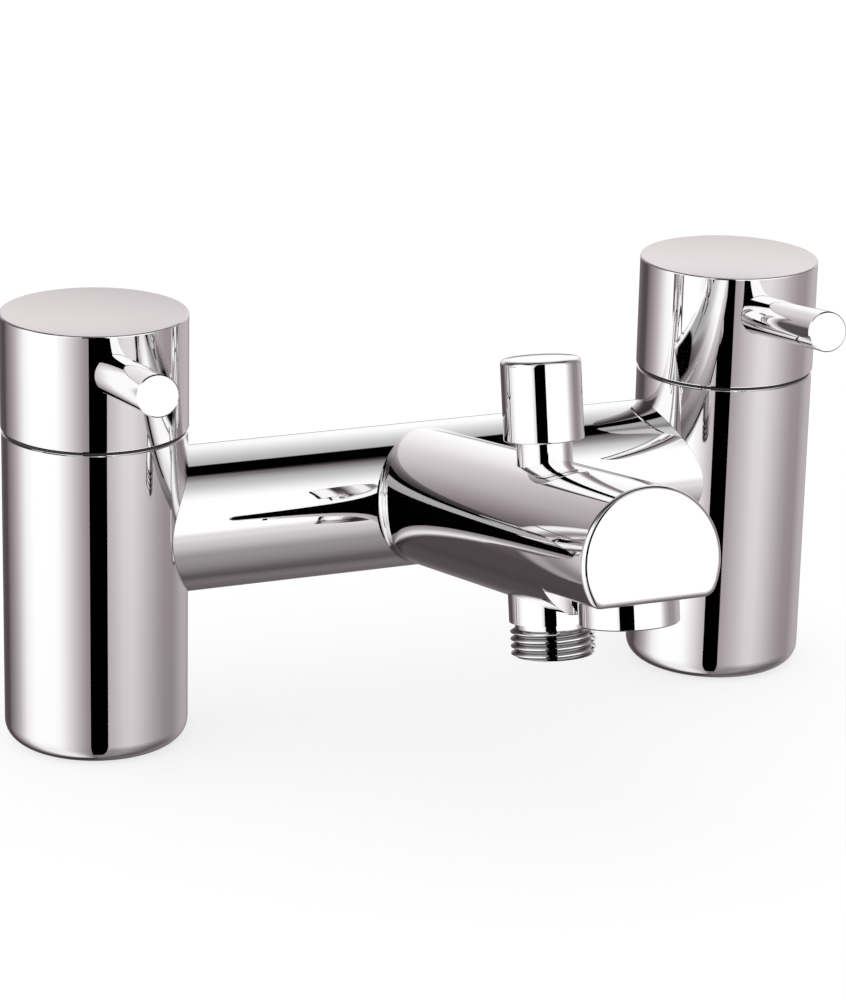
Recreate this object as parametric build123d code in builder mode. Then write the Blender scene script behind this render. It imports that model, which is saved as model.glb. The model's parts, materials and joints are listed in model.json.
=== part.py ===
from build123d import *
import os
from math import cos, pi, radians, sin

os.makedirs("parts", exist_ok=True)

# Bath shower mixer. The origin is on the bath deck, midway between the two pillars.
# +X runs along the bridge, the spout points to -Y and +Z is up. Millimetres and degrees.

# Pillars
tap_span_w = 180.0
pillar_d = 47.6
pillar_h = 83.3
foot_fillet = 5.0
rim_chamfer = 0.3
inlet_thread_d = 24.117
inlet_thread_h = 14.0
riser_d = 19.0
seat_hole_d = 12.0
seat_web = 4.0
chamber_d = 29.0
chamber_h = 22.0
bonnet_thread_h = 11.0
recess_depth = 5.6
recess_d = 34.0

# Bridge tube
bridge_d = 37.8
bridge_wall = 3.2
bridge_z = 56.5
bridge_port_d = 20.0
braze_gap = 0.05

# Spout body
spout_d = 36.0
spout_wall = 3.4
spout_rise = 10.5
spout_reach = 142.0
spout_rim = 1.5
flat_corner_r = 3.5
tip_wall = 5.5
flat_drop = 9.8
flat_margin = 1.5
mouth_d = 24.0
root_blend = 2.0

# Diverter: its distance behind the aerator, and heights square to the spout
outlet_span_l = 44.2
diverter_web = 5.4
outlet_boss_d = 21.3
outlet_boss_h = 22.0
stack_bore_d = 17.2
upper_seat_t = 2.0
diverter_seat_d = 10.0
neck_bore_d = 14.0
inlet_slot_w = 11.0
inlet_slot_h = 6.5
nose_slot_w = 9.0
nose_slot_h = 4.4
slot_lift = 0.3
diverter_lift = 6.7

# Shower outlet nipple
hose_thread_d = 20.955
hose_thread_pitch = 1.814
hose_thread_turns = 4
hose_thread_root_d = 18.63
hose_crest_share = 0.3
hose_relief_d = 18.4
hose_relief_h = 1.5
hose_bore_d = 14.0
nipple_seat_depth = 6.0
nipple_seat_t = 3.0

# Neck and knob of the diverter
neck_d = 13.9
neck_bottom_h = 11.0
neck_top_h = 31.0
neck_guide_h = 7.0
spring_bore_d = 9.2
knob_d = 19.9
knob_bottom_h = 22.8
knob_h = 20.7
knob_dome = 0.7
knob_edge = 1.3
knob_lip = 0.4
knob_clearance = 0.35
rod_d = 4.0
rod_cover_t = 3.5
rod_collar_d = 8.4
rod_collar_t = 1.0
spring_wire_d = 0.7
spring_turns = 6
piston_d = 14.8
washer_d = 14.4
washer_t = 1.0
rod_nut_flats = 5.5
rod_nut_h = 2.2

# Aerator, set back from the spout's tip
aerator_setback_l = 14.5
aerator_d = 24.0
aerator_h = 6.5
aerator_thread_d = 22.0
aerator_thread_h = 2.8
aerator_bore_d = 16.8
aerator_mouth_d = 19.2
aerator_lip = 1.5
aerator_gasket_t = 0.8
aerator_hole_d = 1.5
aerator_hole_gap = 1.0
aerator_hole_rings = 3
insert_recess = 0.4

# Valve bonnets, discs and spindles
bonnet_skirt_d = 17.8
bonnet_skirt_wall = 1.4
bonnet_thread_d = 20.6
bonnet_washer_d = 26.0
bonnet_washer_t = 0.8
bonnet_hex_flats = 24.0
bonnet_hex_h = 5.5
bonnet_collar_d = 15.0
bonnet_collar_h = 4.7
seal_t = 2.5
seal_d = 16.8
disc_d = 14.6
disc_t = 3.0
disc_port_inner_d = 5.0
disc_port_outer_d = 11.6
disc_port_angle = 76.0
spindle_d = 9.0
spindle_foot_d = 6.8
spindle_foot_h = 3.5
spindle_flange_d = 14.0
spindle_flange_t = 2.5
tongue_w = 2.3
tongue_l = 12.0
tongue_h = 1.1
thrust_washer_t = 0.5
window_w = 9.0
spline_d = 7.9
spline_depth = 0.35
spline_teeth = 20
spline_h = 16.5
circlip_d = 12.0
circlip_t = 0.8
o_ring_section = 1.2

# Handles and levers
handle_d = 48.0
handle_h = 30.1
seam_gap = 0.8
handle_wall = 2.4
handle_top = 7.5
handle_edge = 0.5
hub_d = 18.0
hub_gap = 2.0
insert_d = 11.0
slip_ring_t = 0.5
slip_ring_w = 3.0
slip_ring_inset = 0.5
lever_d = 10.4
lever_reach = 70.0
lever_rise = 9.5
lever_drop = 14.0
lever_seat = 15.0
lever_socket_wall = 2.2
lever_stud_d = 5.0
lever_edge = 0.3
left_lever_heading = -95.5
right_lever_heading = -96.0

# Fits: a shaft that turns or slides, a fixed seat, and a loose inner piece
running_gap = 0.05
seat_gap = 0.05
loose_gap = 0.3
overrun_length = 1.0

# Places worked out from the sizes above
pillar_r = pillar_d / 2
bridge_r = bridge_d / 2
aerator_reach = spout_reach - aerator_setback_l
diverter_reach = aerator_reach - outlet_span_l
spout_r = spout_d / 2
half_centres = tap_span_w / 2
recess_z = pillar_h - recess_depth
bonnet_thread_z = recess_z - bonnet_thread_h
seat_z = bonnet_thread_z - chamber_h
handle_z = pillar_h + seam_gap
handle_top_z = handle_z + handle_h
bonnet_z = seat_z + seal_t
bonnet_top_z = recess_z + bonnet_washer_t + bonnet_hex_h + bonnet_collar_h
moving_disc_z = bonnet_z + disc_t
spindle_z = moving_disc_z + disc_t
flange_z = spindle_z + spindle_foot_h
thrust_z = flange_z + spindle_flange_t
shoulder_z = thrust_z + thrust_washer_t
circlip_z = bonnet_top_z + loose_gap
hub_z = circlip_z + circlip_t + hub_gap
spline_top_z = bonnet_top_z + spline_h
insert_top_z = spline_top_z + loose_gap
lever_z = handle_top_z - lever_drop
rod_top_h = knob_bottom_h + knob_h - rod_cover_t
hole_step = aerator_hole_d + aerator_hole_gap
lower_seat_h = -nipple_seat_depth
stack_top = lower_seat_h + 3 * washer_t
upper_seat_h = stack_top + diverter_lift + loose_gap

# The spout's own directions: along it, and square to it in the upright plane
along = Vector(0, -cos(radians(spout_rise)), sin(radians(spout_rise)))
square = Vector(0, sin(radians(spout_rise)), cos(radians(spout_rise)))
spout_root = Vector(0, 0, bridge_z)
spout_plane = Plane(origin=spout_root, x_dir=(1, 0, 0), z_dir=along)
diverter_origin = spout_root + along * diverter_reach
diverter_section = Plane(origin=diverter_origin, x_dir=(1, 0, 0), z_dir=along)
diverter_plane = Plane(origin=diverter_origin, x_dir=(1, 0, 0), z_dir=square)
diverter_axis = Axis(diverter_origin, square)
aerator_origin = spout_root + along * aerator_reach
aerator_section = Plane(origin=aerator_origin, x_dir=(1, 0, 0), z_dir=along)
aerator_plane = Plane(origin=aerator_origin, x_dir=(1, 0, 0), z_dir=square)
aerator_axis = Axis(aerator_origin, square)

sides = {"left": -1, "right": 1}
lever_headings = {"left": left_lever_heading, "right": right_lever_heading}


def save(piece, node):
    """Label a finished piece and write it as one file."""
    piece.part.label = node
    export_step(piece.part, f"parts/{node}.step")


def turned(plane, axis, points):
    """Solid of revolution from a closed outline of (radius, height) points."""
    with BuildSketch(plane, mode=Mode.PRIVATE) as outline:
        with BuildLine():
            Polyline(*points, close=True)
        make_face()
    with BuildPart(mode=Mode.PRIVATE) as solid:
        revolve(outline.sketch, axis=axis)
    return solid.part


def ring(plane, axis, inner_d, outer_d, low, high):
    """Plain ring between two heights."""
    inner, outer = inner_d / 2, outer_d / 2
    return turned(plane, axis, [(inner, low), (outer, low), (outer, high), (inner, high)])


def o_ring(plane, axis, centre_r, section, height):
    """Rubber ring of round section, its centre at the given height."""
    with BuildSketch(plane, mode=Mode.PRIVATE) as outline:
        with Locations((centre_r, height)):
            Circle(section / 2)
    with BuildPart(mode=Mode.PRIVATE) as solid:
        revolve(outline.sketch, axis=axis)
    return solid.part


def disc_ports(plane, first_angle):
    """Two opposite sector openings of a ceramic disc."""
    inner, outer = disc_port_inner_d / 2, disc_port_outer_d / 2
    with BuildSketch(plane, mode=Mode.PRIVATE) as ports:
        for start in (first_angle, first_angle + 180):
            low, high = start - disc_port_angle / 2, start + disc_port_angle / 2
            with BuildLine():
                CenterArc((0, 0), inner, low, disc_port_angle)
                CenterArc((0, 0), outer, low, disc_port_angle)
                for angle in (low, high):
                    foot = (inner * cos(radians(angle)), inner * sin(radians(angle)))
                    PolarLine(foot, outer - inner, angle)
            make_face()
    return ports.sketch


def pillar_section(x):
    """Upright half-section plane through a pillar's axis."""
    return Plane(origin=(x, 0, 0), x_dir=(1, 0, 0), z_dir=(0, -1, 0))


# Pillars, each with its valve, handle and lever
for side, sign in sides.items():
    x = sign * half_centres
    section = pillar_section(x)
    axis = Axis((x, 0, 0), (0, 0, 1))

    # The cast pillar is open from its inlet thread up to the recess for the bonnet
    riser_top = seat_z - seat_web
    inlet_r, riser_r, hole_r = inlet_thread_d / 2, riser_d / 2, seat_hole_d / 2
    chamber_r, thread_r, recess_r = chamber_d / 2, bonnet_thread_d / 2 + seat_gap, recess_d / 2
    with BuildPart() as pillar:
        add(turned(section, axis, [
            (inlet_r, 0), (pillar_r, 0), (pillar_r, pillar_h), (recess_r, pillar_h),
            (recess_r, recess_z), (thread_r, recess_z), (thread_r, bonnet_thread_z),
            (chamber_r, bonnet_thread_z), (chamber_r, seat_z), (hole_r, seat_z), (hole_r, riser_top),
            (riser_r, riser_top), (riser_r, inlet_thread_h), (inlet_r, inlet_thread_h)]))
        outer = pillar.faces().filter_by(GeomType.CYLINDER).sort_by(SortBy.AREA)[-1]
        fillet(outer.edges().filter_by(GeomType.CIRCLE).sort_by(Axis.Z)[0], radius=foot_fillet)
        outer = pillar.faces().filter_by(GeomType.CYLINDER).sort_by(SortBy.AREA)[-1]
        chamfer(outer.edges().filter_by(GeomType.CIRCLE).sort_by(Axis.Z)[-1], length=rim_chamfer)
        with BuildSketch(Plane(origin=(x, 0, bridge_z), x_dir=(0, 1, 0), z_dir=(-sign, 0, 0))):
            Circle(bridge_port_d / 2)
        extrude(amount=pillar_r + overrun_length, mode=Mode.SUBTRACT)
    save(pillar, f"{side}_pillar")

    # The bonnet carries the discs and the spindle, and screws into the pillar
    skirt_r = bonnet_skirt_d / 2
    cage_r = skirt_r - bonnet_skirt_wall
    stem_r = spindle_d / 2 + running_gap
    male_r, collar_r = bonnet_thread_d / 2, bonnet_collar_d / 2
    hex_z = recess_z + bonnet_washer_t
    with BuildPart() as bonnet:
        add(turned(section, axis, [
            (cage_r, bonnet_z), (skirt_r, bonnet_z), (skirt_r, bonnet_thread_z),
            (male_r, bonnet_thread_z), (male_r, hex_z), (collar_r, hex_z), (collar_r, bonnet_top_z),
            (stem_r, bonnet_top_z), (stem_r, shoulder_z), (cage_r, shoulder_z)]))
        with BuildSketch(Plane(origin=(x, 0, hex_z))):
            RegularPolygon(bonnet_hex_flats / 2, 6, major_radius=False)
            Circle(stem_r, mode=Mode.SUBTRACT)
        extrude(amount=bonnet_hex_h)
        chamfer(bonnet.edges().filter_by(GeomType.LINE).filter_by(Axis.Z), length=rim_chamfer)
        with BuildSketch(Plane(origin=(x, 0, spindle_z + loose_gap))):
            Rectangle(bonnet_skirt_d + overrun_length, window_w)
        extrude(amount=spindle_foot_h - loose_gap, mode=Mode.SUBTRACT)
    save(bonnet, f"{side}_valve_bonnet")

    with BuildPart() as bonnet_washer:
        add(ring(section, axis, bonnet_thread_d + 2 * seat_gap, bonnet_washer_d, recess_z, hex_z))
    save(bonnet_washer, f"{side}_bonnet_washer")

    with BuildPart() as seat_seal:
        add(ring(section, axis, disc_port_outer_d + loose_gap, seal_d, seat_z, bonnet_z))
    save(seat_seal, f"{side}_seat_seal")

    # Ceramic discs: the openings are a quarter turn apart while the valve is shut
    with BuildPart() as fixed_disc:
        with BuildSketch(Plane(origin=(x, 0, bonnet_z))):
            Circle(disc_d / 2)
        extrude(amount=disc_t)
        extrude(disc_ports(Plane(origin=(x, 0, bonnet_z)), 0), amount=disc_t, mode=Mode.SUBTRACT)
    save(fixed_disc, f"{side}_fixed_disc")

    slot_depth = tongue_h + running_gap
    with BuildPart() as moving_disc:
        with BuildSketch(Plane(origin=(x, 0, moving_disc_z))):
            Circle(disc_d / 2)
        extrude(amount=disc_t)
        extrude(disc_ports(Plane(origin=(x, 0, moving_disc_z)), 90), amount=disc_t, mode=Mode.SUBTRACT)
        with BuildSketch(Plane(origin=(x, 0, spindle_z - slot_depth))):
            Rectangle(tongue_l + 2 * running_gap, tongue_w + 2 * running_gap)
        extrude(amount=slot_depth, mode=Mode.SUBTRACT)
    save(moving_disc, f"{side}_moving_disc")

    # The spindle drives the moving disc with a tongue and takes the handle on its spline
    shaft_r, foot_r, flange_r = spindle_d / 2, spindle_foot_d / 2, spindle_flange_d / 2
    spline_r = spline_d / 2
    root_r = spline_r - spline_depth
    clip_top = circlip_z + circlip_t
    ring_gap = (bonnet_top_z - shoulder_z) / 3
    groove_r = shaft_r - o_ring_section - running_gap
    half_groove = o_ring_section / 2 + running_gap
    groove_heights = [shoulder_z + ring_gap, shoulder_z + 2 * ring_gap]
    grooves = []
    for height in groove_heights:
        low, high = height - half_groove, height + half_groove
        grooves += [(shaft_r, low), (groove_r, low), (groove_r, high), (shaft_r, high)]
    with BuildPart() as spindle:
        add(turned(section, axis, [
            (0, spindle_z), (foot_r, spindle_z), (foot_r, flange_z), (flange_r, flange_z),
            (flange_r, thrust_z), (shaft_r, thrust_z), *grooves, (shaft_r, circlip_z),
            (root_r, circlip_z), (root_r, spline_top_z), (0, spline_top_z)]))
        with BuildSketch(Plane(origin=(x, 0, spindle_z - tongue_h))):
            Rectangle(tongue_l, tongue_w)
        extrude(amount=tongue_h)
        with BuildSketch(Plane(origin=(x, 0, clip_top))):
            with BuildLine():
                teeth = []
                for tooth in range(2 * spline_teeth):
                    angle = pi * tooth / spline_teeth
                    radius = spline_r - spline_depth * (tooth % 2)
                    teeth.append((radius * cos(angle), radius * sin(angle)))
                Polyline(*teeth, close=True)
            make_face()
        extrude(amount=spline_top_z - clip_top)
    save(spindle, f"{side}_spindle")

    with BuildPart() as thrust_washer:
        thrust_top = shoulder_z - running_gap
        add(ring(section, axis, spindle_d + 2 * running_gap, spindle_flange_d, thrust_z, thrust_top))
    save(thrust_washer, f"{side}_thrust_washer")

    ring_centre_r = shaft_r - o_ring_section / 2 - running_gap / 2
    with BuildPart() as spindle_seals:
        for height in groove_heights:
            add(o_ring(section, axis, ring_centre_r, o_ring_section, height))
    save(spindle_seals, f"{side}_spindle_o_rings")

    # Circlip with its gap, above the bonnet
    with BuildPart() as circlip:
        clip_bore = 2 * (root_r + running_gap)
        add(ring(section, axis, clip_bore, circlip_d, circlip_z + running_gap, clip_top - running_gap))
        with BuildSketch(Plane(origin=(x, circlip_d / 2, circlip_z))):
            Rectangle(spindle_foot_d, circlip_d)
        extrude(amount=circlip_t, mode=Mode.SUBTRACT)
    save(circlip, f"{side}_circlip")

    with BuildPart() as slip_ring:
        slip_outer = pillar_d - 2 * slip_ring_inset
        add(ring(section, axis, slip_outer - 2 * slip_ring_w, slip_outer, pillar_h, pillar_h + slip_ring_t))
    save(slip_ring, f"{side}_slip_ring")

    # Handle shell: a cup with a hub for the spline insert and a socket for the lever
    heading, rise = radians(lever_headings[side]), radians(lever_rise)
    pointing = Vector(cos(heading) * cos(rise), sin(heading) * cos(rise), sin(rise))
    lever_plane = Plane(origin=(x, 0, lever_z), x_dir=(-sin(heading), cos(heading), 0), z_dir=pointing)
    handle_r, cup_r = handle_d / 2, handle_d / 2 - handle_wall
    ceiling = handle_top_z - handle_top
    hub_r, bore_r = hub_d / 2, insert_d / 2 + seat_gap
    pocket_z = insert_top_z + seat_gap
    with BuildPart() as shell:
        add(turned(section, axis, [
            (0, pocket_z), (bore_r, pocket_z), (bore_r, hub_z), (hub_r, hub_z),
            (hub_r, ceiling), (cup_r, ceiling), (cup_r, handle_z), (handle_r, handle_z),
            (handle_r, handle_top_z), (0, handle_top_z)]))
        with BuildSketch(lever_plane.offset(bore_r)):
            Circle(lever_d / 2 + lever_socket_wall)
        extrude(amount=handle_r - handle_wall / 2 - bore_r)
        with BuildSketch(Plane(origin=(x, 0, hub_z - overrun_length))):
            Circle(bore_r)
        extrude(amount=pocket_z + overrun_length - hub_z, mode=Mode.SUBTRACT)
        rims = shell.edges().filter_by(GeomType.CIRCLE).group_by(Axis.Z)
        chamfer(rims[0].sort_by(SortBy.RADIUS)[-1], length=rim_chamfer)
        fillet(shell.edges().filter_by(GeomType.CIRCLE).sort_by(Axis.Z)[-1], radius=handle_edge)
        with BuildSketch(lever_plane.offset(lever_seat - seat_gap)):
            Circle(lever_d / 2 + seat_gap)
        extrude(amount=lever_reach, mode=Mode.SUBTRACT)
        with BuildSketch(lever_plane):
            Circle(lever_stud_d / 2 + seat_gap)
        extrude(amount=lever_seat, mode=Mode.SUBTRACT)
    save(shell, f"{side}_handle_shell")

    with BuildPart() as spline_insert:
        add(ring(section, axis, spline_d + 2 * seat_gap, insert_d, hub_z + loose_gap, insert_top_z))
    save(spline_insert, f"{side}_spline_insert")

    # Lever: a plain pin with a threaded stud that clamps the insert
    stud_r = lever_stud_d / 2
    stud_start = (insert_d / 2 + loose_gap + stud_r * sin(rise)) / cos(rise)
    with BuildPart() as lever:
        with BuildSketch(lever_plane.offset(lever_seat)):
            Circle(lever_d / 2)
        extrude(amount=lever_reach - lever_seat)
        chamfer(lever.edges().filter_by(GeomType.CIRCLE), length=lever_edge)
        with BuildSketch(lever_plane.offset(stud_start)):
            Circle(stud_r)
        extrude(amount=lever_seat - stud_start)
    save(lever, f"{side}_lever")

# Bridge tube, coped to the pillars at its ends and open to the spout
bridge_bore_r = bridge_r - bridge_wall
with BuildPart() as bridge:
    with BuildSketch(Plane(origin=(-half_centres, 0, bridge_z), x_dir=(0, 1, 0), z_dir=(1, 0, 0))):
        Circle(bridge_r)
        Circle(bridge_bore_r, mode=Mode.SUBTRACT)
    extrude(amount=tap_span_w)
    for sign in sides.values():
        with BuildSketch(Plane(origin=(sign * half_centres, 0, 0))):
            Circle(pillar_r + braze_gap)
        extrude(amount=handle_top_z, mode=Mode.SUBTRACT)
    with BuildSketch(spout_plane):
        Circle(mouth_d / 2)
    extrude(amount=bridge_d, mode=Mode.SUBTRACT)
save(bridge, "bridge_tube")

# Spout: round, coped to the bridge, with the diverter's web and a flat under the tip. It is made in three
# lengths that meet face to face: the tube at the back, the diverter's body and the nose.
bore_r = spout_r - spout_wall
web_half = stack_bore_d / 2 + diverter_web
rear_end = diverter_reach - web_half
front_start = diverter_reach + web_half
front_length = spout_reach - tip_wall - front_start
flat_start = aerator_reach - aerator_d / 2 - flat_margin
flat_length = spout_reach - flat_start
floor_h = -flat_drop + spout_wall
neck_mouth = spout_r + overrun_length
with BuildPart() as spout:
    with BuildSketch(Plane(origin=(-spout_d, 0, bridge_z), x_dir=(0, 1, 0), z_dir=(1, 0, 0))):
        Circle(bridge_r)
    extrude(amount=2 * spout_d)
    with BuildSketch(spout_plane):
        Circle(spout_r)
    extrude(amount=spout_reach)
    fillet(spout.edges().filter_by(GeomType.BSPLINE), radius=root_blend)
    with BuildSketch(spout_plane.offset(flat_start)):
        with Locations((0, -flat_drop - spout_r / 2)):
            Rectangle(spout_d + overrun_length, spout_r)
    extrude(amount=flat_length, mode=Mode.SUBTRACT)
    lines = spout.edges().filter_by(Axis(spout_root, along))
    fillet(lines.group_by(Axis(spout_root, square))[0], radius=flat_corner_r)
    tip_face = spout.faces().filter_by(GeomType.PLANE).sort_by(Axis(spout_root, along))[-1]
    fillet(tip_face.edges(), radius=spout_rim)
    with BuildSketch(diverter_plane.offset(-outlet_boss_h)):
        Circle(outlet_boss_d / 2)
    extrude(amount=outlet_boss_h)
    with BuildSketch(aerator_plane.offset(-flat_drop - aerator_thread_h)):
        Circle(aerator_thread_d / 2)
    extrude(amount=aerator_thread_h)
    with BuildSketch(Plane(origin=(-half_centres, 0, bridge_z), x_dir=(0, 1, 0), z_dir=(1, 0, 0))):
        Circle(bridge_r + braze_gap)
    extrude(amount=tap_span_w, mode=Mode.SUBTRACT)
    with BuildSketch(spout_plane):
        Circle(bore_r)
    extrude(amount=rear_end, mode=Mode.SUBTRACT)
    with BuildSketch(spout_plane.offset(front_start)):
        Circle(bore_r)
        with Locations((0, floor_h - bore_r)):
            Rectangle(2 * bore_r, 2 * bore_r, mode=Mode.SUBTRACT)
    extrude(amount=front_length, mode=Mode.SUBTRACT)
    add(turned(diverter_section, diverter_axis, [
        (0, -outlet_boss_h), (stack_bore_d / 2, -outlet_boss_h), (stack_bore_d / 2, upper_seat_h),
        (diverter_seat_d / 2, upper_seat_h), (diverter_seat_d / 2, upper_seat_h + upper_seat_t),
        (neck_bore_d / 2, upper_seat_h + upper_seat_t), (neck_bore_d / 2, neck_mouth),
        (0, neck_mouth)]), mode=Mode.SUBTRACT)
    with BuildSketch(spout_plane.offset(rear_end - overrun_length)):
        with Locations((0, upper_seat_h - slot_lift - inlet_slot_h / 2)):
            Rectangle(inlet_slot_w, inlet_slot_h)
    extrude(amount=web_half, mode=Mode.SUBTRACT)
    with BuildSketch(spout_plane.offset(diverter_reach)):
        with Locations((0, upper_seat_h + upper_seat_t + slot_lift + nose_slot_h / 2)):
            Rectangle(nose_slot_w, nose_slot_h)
    extrude(amount=web_half + overrun_length, mode=Mode.SUBTRACT)
    with BuildSketch(aerator_plane):
        Circle(aerator_bore_d / 2)
    extrude(amount=-flat_drop - aerator_thread_h, mode=Mode.SUBTRACT)
body_rear, body_front = spout_plane.offset(rear_end), spout_plane.offset(front_start)
with BuildPart() as spout_tube:
    add(spout.part)
    split(bisect_by=body_rear, keep=Keep.BOTTOM)
save(spout_tube, "spout_tube")

with BuildPart() as diverter_body:
    add(spout.part)
    split(bisect_by=body_rear, keep=Keep.TOP)
    split(bisect_by=body_front, keep=Keep.BOTTOM)
save(diverter_body, "diverter_body")

with BuildPart() as spout_nose:
    add(spout.part)
    split(bisect_by=body_front, keep=Keep.TOP)
save(spout_nose, "spout_nose")

# Shower outlet nipple: screwed up into the boss, its upper rim is the diverter's lower seat
hose_bore_r, hose_root_r, hose_crest_r = hose_bore_d / 2, hose_thread_root_d / 2, hose_thread_d / 2
nipple_r = stack_bore_d / 2 - seat_gap
relief_z = -outlet_boss_h - hose_relief_h
crest_w = hose_crest_share * hose_thread_pitch
flank = (hose_thread_pitch - crest_w) / 2
thread_points = []
for turn in range(hose_thread_turns):
    top = relief_z - turn * hose_thread_pitch
    crest_top, crest_low = top - flank, top - flank - crest_w
    thread_points += [(hose_root_r, top), (hose_crest_r, crest_top), (hose_crest_r, crest_low)]
thread_end = relief_z - hose_thread_turns * hose_thread_pitch
seal_h = (lower_seat_h - outlet_boss_h) / 2
half_seal = o_ring_section / 2 + running_gap
seal_low, seal_high = seal_h - half_seal, seal_h + half_seal
seal_groove_r = nipple_r - o_ring_section
with BuildPart() as nipple:
    add(turned(diverter_section, diverter_axis, [
        (diverter_seat_d / 2, lower_seat_h), (nipple_r, lower_seat_h), (nipple_r, seal_high),
        (seal_groove_r, seal_high), (seal_groove_r, seal_low), (nipple_r, seal_low),
        (nipple_r, -outlet_boss_h), (hose_relief_d / 2, -outlet_boss_h), (hose_relief_d / 2, relief_z),
        *thread_points, (hose_root_r, thread_end), (hose_bore_r, thread_end),
        (hose_bore_r, lower_seat_h - nipple_seat_t), (diverter_seat_d / 2, lower_seat_h - nipple_seat_t)]))
save(nipple, "shower_outlet_nipple")

with BuildPart() as nipple_seal:
    add(o_ring(diverter_section, diverter_axis, nipple_r - o_ring_section / 2, o_ring_section, seal_h))
save(nipple_seal, "outlet_o_ring")

# Neck: guides the rod, holds the spring down on it and shows between spout and knob
neck_r, guide_r = neck_d / 2, rod_d / 2 + running_gap
guide_z = neck_top_h - neck_guide_h
gland_h = neck_top_h - neck_guide_h / 2
gland_r = guide_r + o_ring_section
half_gland = o_ring_section / 2 + running_gap
gland_low, gland_high = gland_h - half_gland, gland_h + half_gland
with BuildPart() as neck:
    add(turned(diverter_section, diverter_axis, [
        (spring_bore_d / 2, neck_bottom_h), (neck_r, neck_bottom_h), (neck_r, neck_top_h),
        (guide_r, neck_top_h), (guide_r, gland_high), (gland_r, gland_high), (gland_r, gland_low),
        (guide_r, gland_low), (guide_r, guide_z), (spring_bore_d / 2, guide_z)]))
save(neck, "diverter_neck")

with BuildPart() as rod_seal:
    add(o_ring(diverter_section, diverter_axis, guide_r + o_ring_section / 2, o_ring_section, gland_h))
save(rod_seal, "rod_o_ring")

# Knob: a cup that slides over the neck, screwed to the rod, with a slightly domed top
knob_r, cup_r = knob_d / 2, neck_r + knob_clearance
knob_top = knob_bottom_h + knob_h
edge_h = knob_top - knob_dome
cup_top = neck_top_h + loose_gap
rod_r = rod_d / 2
with BuildPart() as knob:
    with BuildSketch(diverter_section):
        with BuildLine():
            Polyline((0, knob_top), (0, rod_top_h + loose_gap), (rod_r + seat_gap, rod_top_h + loose_gap),
                     (rod_r + seat_gap, cup_top), (cup_r, cup_top), (cup_r, knob_bottom_h),
                     (knob_r, knob_bottom_h), (knob_r, edge_h))
            ThreePointArc((knob_r, edge_h), (knob_r / 2, knob_top - knob_dome / 4), (0, knob_top))
        make_face()
    revolve(axis=diverter_axis)
    rims = knob.edges().filter_by(lambda edge: edge.is_closed).sort_by(diverter_axis)
    fillet(rims[-1], radius=knob_edge)
    lips = knob.edges().filter_by(lambda edge: edge.is_closed).group_by(diverter_axis)[0]
    fillet(lips.sort_by(SortBy.LENGTH)[-1], radius=knob_lip)
save(knob, "diverter_knob")

# Rod with the collar that the spring pushes on and the collar above the piston
spring_collar_h = neck_bottom_h - rod_collar_t / 2
collar_r = rod_collar_d / 2
with BuildPart() as rod:
    add(turned(diverter_section, diverter_axis, [
        (0, lower_seat_h - rod_nut_h), (rod_r, lower_seat_h - rod_nut_h), (rod_r, stack_top),
        (collar_r, stack_top), (collar_r, stack_top + rod_collar_t), (rod_r, stack_top + rod_collar_t),
        (rod_r, spring_collar_h - rod_collar_t), (collar_r, spring_collar_h - rod_collar_t),
        (collar_r, spring_collar_h), (rod_r, spring_collar_h), (rod_r, rod_top_h), (0, rod_top_h)]))
save(rod, "diverter_rod")

bore_d = rod_d + 2 * seat_gap
with BuildPart() as lower_washer:
    add(ring(diverter_section, diverter_axis, bore_d, washer_d, lower_seat_h, lower_seat_h + washer_t))
save(lower_washer, "lower_seat_washer")

with BuildPart() as piston:
    piston_low, piston_high = lower_seat_h + washer_t, stack_top - washer_t
    add(ring(diverter_section, diverter_axis, bore_d, piston_d, piston_low, piston_high))
save(piston, "diverter_piston")

with BuildPart() as upper_washer:
    add(ring(diverter_section, diverter_axis, bore_d, washer_d, stack_top - washer_t, stack_top))
save(upper_washer, "upper_seat_washer")

with BuildPart() as rod_nut:
    with BuildSketch(diverter_plane.offset(lower_seat_h - rod_nut_h)):
        RegularPolygon(rod_nut_flats / 2, 6, major_radius=False)
        Circle(rod_r + seat_gap, mode=Mode.SUBTRACT)
    extrude(amount=rod_nut_h)
save(rod_nut, "rod_nut")

# Return spring: one open helix between the collar and the end of the neck's bore
wire_r = spring_wire_d / 2
coil_r = (spring_bore_d / 2 + rod_r) / 2
spring_low, spring_high = spring_collar_h + wire_r + running_gap, guide_z - wire_r - running_gap
spring_pitch = (spring_high - spring_low) / spring_turns
with BuildPart() as spring:
    with BuildLine() as coil:
        Helix(spring_pitch, spring_high - spring_low, coil_r,
              center=diverter_origin + square * spring_low, direction=square)
    with BuildSketch(Plane(origin=coil.line @ 0, z_dir=coil.line % 0)):
        Circle(wire_r)
    sweep(path=coil.line)
save(spring, "return_spring")
print("spring's least gap between turns", round(spring_pitch - spring_wire_d, 3))

# Aerator: an internally threaded ring that holds the gasket and the perforated insert
flat_h = -flat_drop
aerator_low, aerator_top = flat_h - aerator_h, flat_h - 2 * seat_gap
ring_r, female_r, mouth_r = aerator_d / 2, aerator_thread_d / 2 + seat_gap, aerator_mouth_d / 2
gasket_top = flat_h - aerator_thread_h
insert_top = gasket_top - aerator_gasket_t
lip_h = aerator_low + aerator_lip
insert_low = aerator_low + insert_recess
with BuildPart() as aerator:
    add(turned(aerator_section, aerator_axis, [
        (mouth_r, aerator_low), (ring_r, aerator_low), (ring_r, aerator_top), (female_r, aerator_top),
        (female_r, lip_h), (mouth_r, lip_h)]))
    rims = aerator.edges().filter_by(GeomType.CIRCLE).group_by(aerator_axis)
    chamfer(rims[0].sort_by(SortBy.RADIUS)[-1], length=rim_chamfer)
save(aerator, "aerator_housing")

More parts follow.
